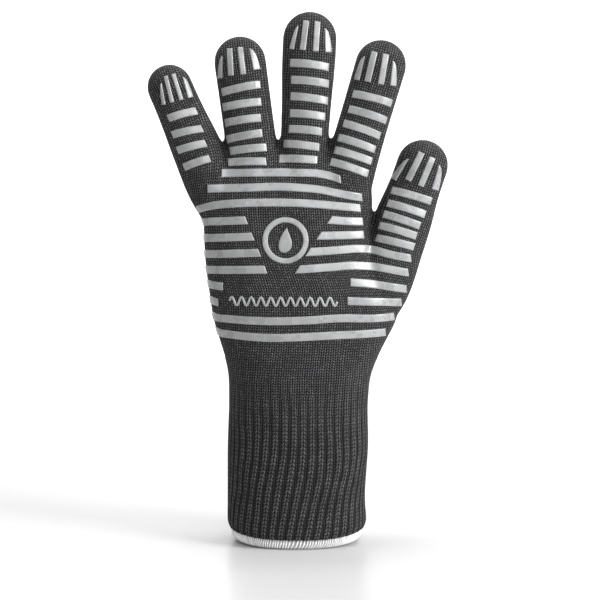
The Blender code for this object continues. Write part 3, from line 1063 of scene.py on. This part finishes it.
# The noise that moves stitches off their grid: its scale, and its size in stitches.
WANDER = (110.0, 0.55)
# How far a stitch's legs slant, and how much the plain stitches show in the grooves between ribs.
STITCH_SLANT = 0.8
GROOVE_STITCHES = 0.55
RIB_SHADES = (0.25, 0.85)
FIBRE_SCALE = 2200.0
FIBRE_SPAN = (0.35, 0.65)
FIBRE_SHADES = (0.2, 0.9)
FIBRE_RELIEF = 0.2
PATCH_SCALE = 60.0
SHADE_SPAN = (0.4, 1.0)
# The yarn heights over which the gap's painted shade gives way to the yarn's own colour.
YARN_SPAN = (0.28, 0.82)
CLOUD_SCALE = 130.0
GRAIN_SCALE = 700.0
SILICONE_DARK = (0.23, 0.233, 0.236, 1)
SILICONE_LIGHT = (0.28, 0.283, 0.287, 1)
# Painted highlight: the lighter colour over the tops of the stitches under the print, and how much of it
# shows.
SILICONE_YARN_HIGHLIGHT = (0.36, 0.363, 0.367, 1)
YARN_HIGHLIGHT_SHARE = 0.25
SILICONE_ROUGHNESS = (0.20, 0.38)
GRAIN_RELIEF = 0.35
YARN_RELIEF = 0.4
TWIST_SCALE = 1800.0


class Nodes:
    """Short calls for building a node tree."""

    def __init__(self, name, roughness, specular):
        self.material = bpy.data.materials.new(name)
        self.material.use_nodes = True
        self.tree = self.material.node_tree
        self.shader = self.tree.nodes["Principled BSDF"]
        self.set("Roughness", roughness)
        self.set("Specular IOR Level", specular)

    def set(self, name, value):
        """A value for one of the shader's own sockets."""
        self.put(value, self.shader.inputs[name])

    def put(self, value, socket):
        if isinstance(value, (int, float, tuple)):
            socket.default_value = value
        else:
            self.tree.links.new(value, socket)

    def math(self, operation, a, b=0.0):
        node = self.tree.nodes.new("ShaderNodeMath")
        node.operation = operation
        for value, socket in zip((a, b), node.inputs):
            self.put(value, socket)
        return node.outputs[0]

    def times(self, a, b):
        return self.math("MULTIPLY", a, b)

    def add(self, a, b):
        return self.math("ADD", a, b)

    def noise(self, vector, scale, detail=2.0):
        node = self.tree.nodes.new("ShaderNodeTexNoise")
        node.inputs["Scale"].default_value = scale
        node.inputs["Detail"].default_value = detail
        self.put(vector, node.inputs["Vector"])
        return node.outputs["Fac"]

    def split(self, vector):
        node = self.tree.nodes.new("ShaderNodeSeparateXYZ")
        self.put(vector, node.inputs[0])
        return node.outputs

    def vectors(self, name):
        attribute = self.tree.nodes.new("ShaderNodeAttribute")
        attribute.attribute_name = name
        return self.split(attribute.outputs["Vector"])

    def blend(self, share, first, second):
        """First to second by a share, for plain numbers."""
        return self.add(first, self.times(share, self.math("SUBTRACT", second, first)))

    def position(self):
        return self.tree.nodes.new("ShaderNodeTexCoord").outputs["Object"]

    def mix(self, share, first, second):
        node = self.tree.nodes.new("ShaderNodeMix")
        node.data_type = "RGBA"
        self.put(share, node.inputs["Factor"])
        self.put(first, node.inputs["A"])
        self.put(second, node.inputs["B"])
        return node.outputs["Result"]

    def remap(self, value, low, high, to_low=0.0, to_high=1.0):
        node = self.tree.nodes.new("ShaderNodeMapRange")
        self.put(value, node.inputs["Value"])
        for key, number in (("From Min", low), ("From Max", high), ("To Min", to_low), ("To Max", to_high)):
            node.inputs[key].default_value = number
        return node.outputs["Result"]

    def bump(self, height, distance, strength):
        node = self.tree.nodes.new("ShaderNodeBump")
        node.inputs["Strength"].default_value = strength
        node.inputs["Distance"].default_value = distance * MM
        self.put(height, node.inputs["Height"])
        self.tree.links.new(node.outputs["Normal"], self.shader.inputs["Normal"])


def stitches(nodes, column, row, share):
    """Heights of V shaped stitches, points up, and each leg's own cell. A column's rest is groove."""
    from_middle = nodes.math("ABSOLUTE", nodes.math("SUBTRACT", nodes.math("FRACT", column), 0.5))
    leg = nodes.math("MINIMUM", nodes.times(from_middle, 2 / share), 1.0)
    slant = nodes.add(row, nodes.times(leg, STITCH_SLANT))
    across = nodes.math("SINE", nodes.times(leg, math.pi))
    along = nodes.math("SINE", nodes.times(nodes.math("FRACT", slant), math.pi))
    yarn = nodes.math("MAXIMUM", nodes.times(across, along), 0.0)
    cell = nodes.tree.nodes.new("ShaderNodeCombineXYZ")
    nodes.put(nodes.math("FLOOR", nodes.times(column, 2.0)), cell.inputs[0])
    nodes.put(nodes.math("FLOOR", slant), cell.inputs[1])
    shade = nodes.tree.nodes.new("ShaderNodeTexWhiteNoise")
    shade.noise_dimensions = "2D"
    nodes.put(cell.outputs[0], shade.inputs["Vector"])
    return yarn, shade.outputs["Value"]


def knit_height(nodes):
    """Stitch heights and shades, from the places on the knit that the mesh carries."""
    scale, size = WANDER
    wander = nodes.times(nodes.math("SUBTRACT", nodes.noise(nodes.position(), scale), 0.5), size)
    u, v, _ = nodes.vectors("knit")
    depth, sideways, end_on = nodes.vectors("side")
    row = nodes.add(v, wander)
    front, front_shade = stitches(nodes, nodes.add(u, wander), row, 1.0)
    side, side_shade = stitches(nodes, nodes.add(depth, wander), row, 1.0)
    end_row = nodes.times(depth, STITCH[0] / STITCH[1])
    end, end_shade = stitches(nodes, nodes.add(u, wander), nodes.add(end_row, wander), 1.0)
    fine = nodes.blend(end_on, nodes.blend(sideways, front, side), end)
    shade = nodes.blend(end_on, nodes.blend(sideways, front_shade, side_shade), end_shade)
    phase, run, ribbed = nodes.vectors("ribs")
    coarse, rib_shade = stitches(nodes, phase, nodes.add(run, wander), RIB_WALE)
    coarse = nodes.math("MAXIMUM", coarse, nodes.times(fine, GROOVE_STITCHES))
    rib_shade = nodes.remap(rib_shade, 0.0, 1.0, *RIB_SHADES)
    return nodes.blend(ribbed, fine, coarse), nodes.blend(ribbed, shade, rib_shade)


def knit_material(name, gap, dark, light, fleck, fuzz):
    """Stocking stitch: columns of V shaped stitches, each leg in its own tone, and painted shade in the
    gaps between them.
    """
    nodes = Nodes(name, roughness=0.85, specular=0.2)
    yarn, shade = knit_height(nodes)
    fibre = nodes.noise(nodes.position(), FIBRE_SCALE)
    patch = nodes.noise(nodes.position(), PATCH_SCALE, detail=3.0)
    ground = nodes.mix(nodes.remap(patch, *NOISE_SPAN), dark, light)
    fibre_shade = nodes.remap(fibre, *FIBRE_SPAN, *FIBRE_SHADES)
    lit = nodes.times(nodes.remap(shade, *SHADE_SPAN), fibre_shade)
    ground = nodes.mix(lit, ground, fleck)
    # Painted shade: where the yarn lies low, between and inside the stitches, the colour falls to the gap
    # colour.
    nodes.set("Base Color", nodes.mix(nodes.remap(yarn, *YARN_SPAN), gap, ground))
    nodes.bump(nodes.add(yarn, nodes.times(fibre, FIBRE_RELIEF)), distance=0.5, strength=0.9)
    nodes.set("Sheen Weight", fuzz)
    nodes.set("Sheen Roughness", 0.5)
    return nodes.material


def silicone_material():
    """Light grey silicone on the knit: half glossy, with the stitches faintly showing through in its bumps
    and a painted highlight on their tops.
    """
    nodes = Nodes("silicone_print", roughness=0.3, specular=0.75)
    place = nodes.position()
    cloud = nodes.noise(place, CLOUD_SCALE)
    grain = nodes.noise(place, GRAIN_SCALE)
    yarn, _ = knit_height(nodes)
    colour = nodes.mix(nodes.remap(cloud, *NOISE_SPAN), SILICONE_DARK, SILICONE_LIGHT)
    # Painted highlight: the print is lighter where the stitches under it stand high.
    nodes.set("Base Color", nodes.mix(nodes.times(yarn, YARN_HIGHLIGHT_SHARE), colour, SILICONE_YARN_HIGHLIGHT))
    nodes.set("Roughness", nodes.remap(cloud, *NOISE_SPAN, *SILICONE_ROUGHNESS))
    relief = nodes.add(nodes.times(grain, GRAIN_RELIEF), nodes.times(yarn, YARN_RELIEF))
    nodes.bump(relief, distance=0.16, strength=0.7)
    return nodes.material


def thread_material(name, dark, light):
    nodes = Nodes(name, roughness=0.7, specular=0.3)
    twist = nodes.noise(nodes.position(), TWIST_SCALE)
    nodes.set("Base Color", nodes.mix(nodes.remap(twist, *NOISE_SPAN), dark, light))
    nodes.bump(twist, distance=0.12, strength=0.7)
    return nodes.material


# Studio. Lengths here are in metres. A light: its place, size and power in watts.

LIGHTS = {
    "key_right": ((1.0, -0.5, 0.6), (0.5, 0.7), 21.5),
    "fill_left": ((-1.0, -0.4, 0.6), (0.5, 0.7), 2.2),
    "front": ((0.35, -1.3, 0.7), (0.8, 0.6), 6.2),
    "back": ((-0.4, 1.2, 0.9), (0.8, 0.6), 4.0),
    "top": ((0.0, 0.1, 1.3), (0.35, 0.35), 10.0),
}
LIGHTS_AIM = (0, 0, 0.16)
WORLD_GLOW = 0.4
FLOOR_SCALE = 3.0
FLOOR_VARIES = 0.01
GLOW_Y = (0.1, 0.8)


def white(name, shade, near_glow, far_glow):
    """Half glossy white that glows from near_glow beside the glove to far_glow well behind it."""
    nodes = Nodes(name, roughness=0.34, specular=0.3)
    place = nodes.position()
    low, high = [(shade + step,) * 3 + (1,) for step in (-FLOOR_VARIES, FLOOR_VARIES)]
    nodes.set("Base Color", nodes.mix(nodes.noise(place, FLOOR_SCALE), low, high))
    glow = nodes.remap(nodes.split(place)["Y"], *GLOW_Y, near_glow, far_glow)
    nodes.set("Emission Color", (1, 1, 1, 1))
    nodes.set("Emission Strength", glow)
    return nodes.material


def make_stage():
    """A white floor that curves up into a glowing white wall."""
    half, back, bend, curve_steps = 3.0, 1.6, 0.6, 12
    profile = [(-half, 0.0), (back - bend, 0.0)]
    for i in range(1, curve_steps + 1):
        a = math.pi / 2 * i / curve_steps
        profile.append((back - bend + bend * math.sin(a), bend - bend * math.cos(a)))
    profile.append((back, half))
    points = [(x, y, z) for y, z in profile for x in (-half, half)]
    faces = [(2 * i, 2 * i + 1, 2 * i + 3, 2 * i + 2) for i in range(len(profile) - 1)]
    mesh = bpy.data.meshes.new("studio_sweep")
    mesh.from_pydata(points, [], faces)
    mesh.materials.append(white("studio_floor", shade=0.50, near_glow=0.0, far_glow=0.3))
    mesh.materials.append(white("studio_wall", shade=0.9, near_glow=0.5, far_glow=0.5))
    for polygon in mesh.polygons[1:]:
        polygon.material_index = 1
    mesh.shade_smooth()
    linked("studio_sweep", mesh)


def area_light(name, place, size, power):
    data = bpy.data.lights.new(name, "AREA")
    data.shape = "RECTANGLE"
    data.size, data.size_y = size
    data.energy = power
    lamp = linked(name, data)
    lamp.location = place
    lamp.rotation_euler = (Vector(LIGHTS_AIM) - Vector(place)).to_track_quat("-Z", "Y").to_euler()


def make_studio():
    make_stage()
    for name, light in LIGHTS.items():
        area_light(name, *light)
    world = bpy.data.worlds.new("studio")
    world.use_nodes = True
    background = world.node_tree.nodes["Background"]
    background.inputs["Color"].default_value = (1, 1, 1, 1)
    background.inputs["Strength"].default_value = WORLD_GLOW
    scene = bpy.context.scene
    scene.world = world
    scene.view_settings.view_transform = "Standard"


def make_camera():
    """Square on to the palm, a little above it, with the whole glove in view."""
    distance, height, aim, seen = 950.0, 225.0, 150.7, 372.0
    data = bpy.data.cameras.new("camera")
    data.lens = data.sensor_width * distance / seen
    camera = linked("camera", data)
    camera.location = Vector((0, -distance, height)) * MM
    look = Vector((0, 0, aim)) * MM - camera.location
    camera.rotation_euler = look.to_track_quat("-Z", "Y").to_euler()
    bpy.context.scene.camera = camera


def main():
    aramid = knit_material(
        "aramid_knit",
        # gap: painted shade, the colour where the yarn lies low between the stitches.
        gap=(0.003, 0.003, 0.0035, 1),
        dark=(0.054, 0.0545, 0.056, 1),
        light=(0.080, 0.081, 0.083, 1),
        fleck=(0.17, 0.17, 0.175, 1),
        fuzz=0.02,
    )
    cotton = knit_material(
        "cotton_liner",
        # gap: painted shade, the colour where the yarn lies low between the stitches.
        gap=(0.30, 0.28, 0.24, 1),
        dark=(0.52, 0.49, 0.43, 1),
        light=(0.60, 0.57, 0.51, 1),
        fleck=(0.72, 0.69, 0.62, 1),
        fuzz=0.2,
    )
    silicone = silicone_material()
    # The rim's grey is painted shade in the gaps between the white thread loops.
    hem_rim_painted_shade = thread_material("hem_rim", (0.40, 0.40, 0.40, 1), (0.48, 0.48, 0.48, 1))
    hem_yarn = thread_material("hem_thread", (0.78, 0.78, 0.77, 1), (0.94, 0.94, 0.93, 1))
    make_camera()
    make_studio()
    skin = make_skin("skin", inset=0.0, voxel=1.15, rounds=14)
    surface = Surface(skin)
    skin_pieces("knit", skin, SKIN_BOTTOM, aramid, ribbed=True)
    liner = make_skin("liner", inset=KNIT_TO_LINER, voxel=2.2, rounds=6)
    skin_pieces("liner", liner, LINER_BOTTOM, cotton, ribbed=False)
    make_palm_print(surface, silicone)
    for name in DIGITS:
        make_digit_print(surface, name, silicone)
    make_marks(surface, silicone)
    make_hem(hem_rim_painted_shade, hem_yarn)


main()
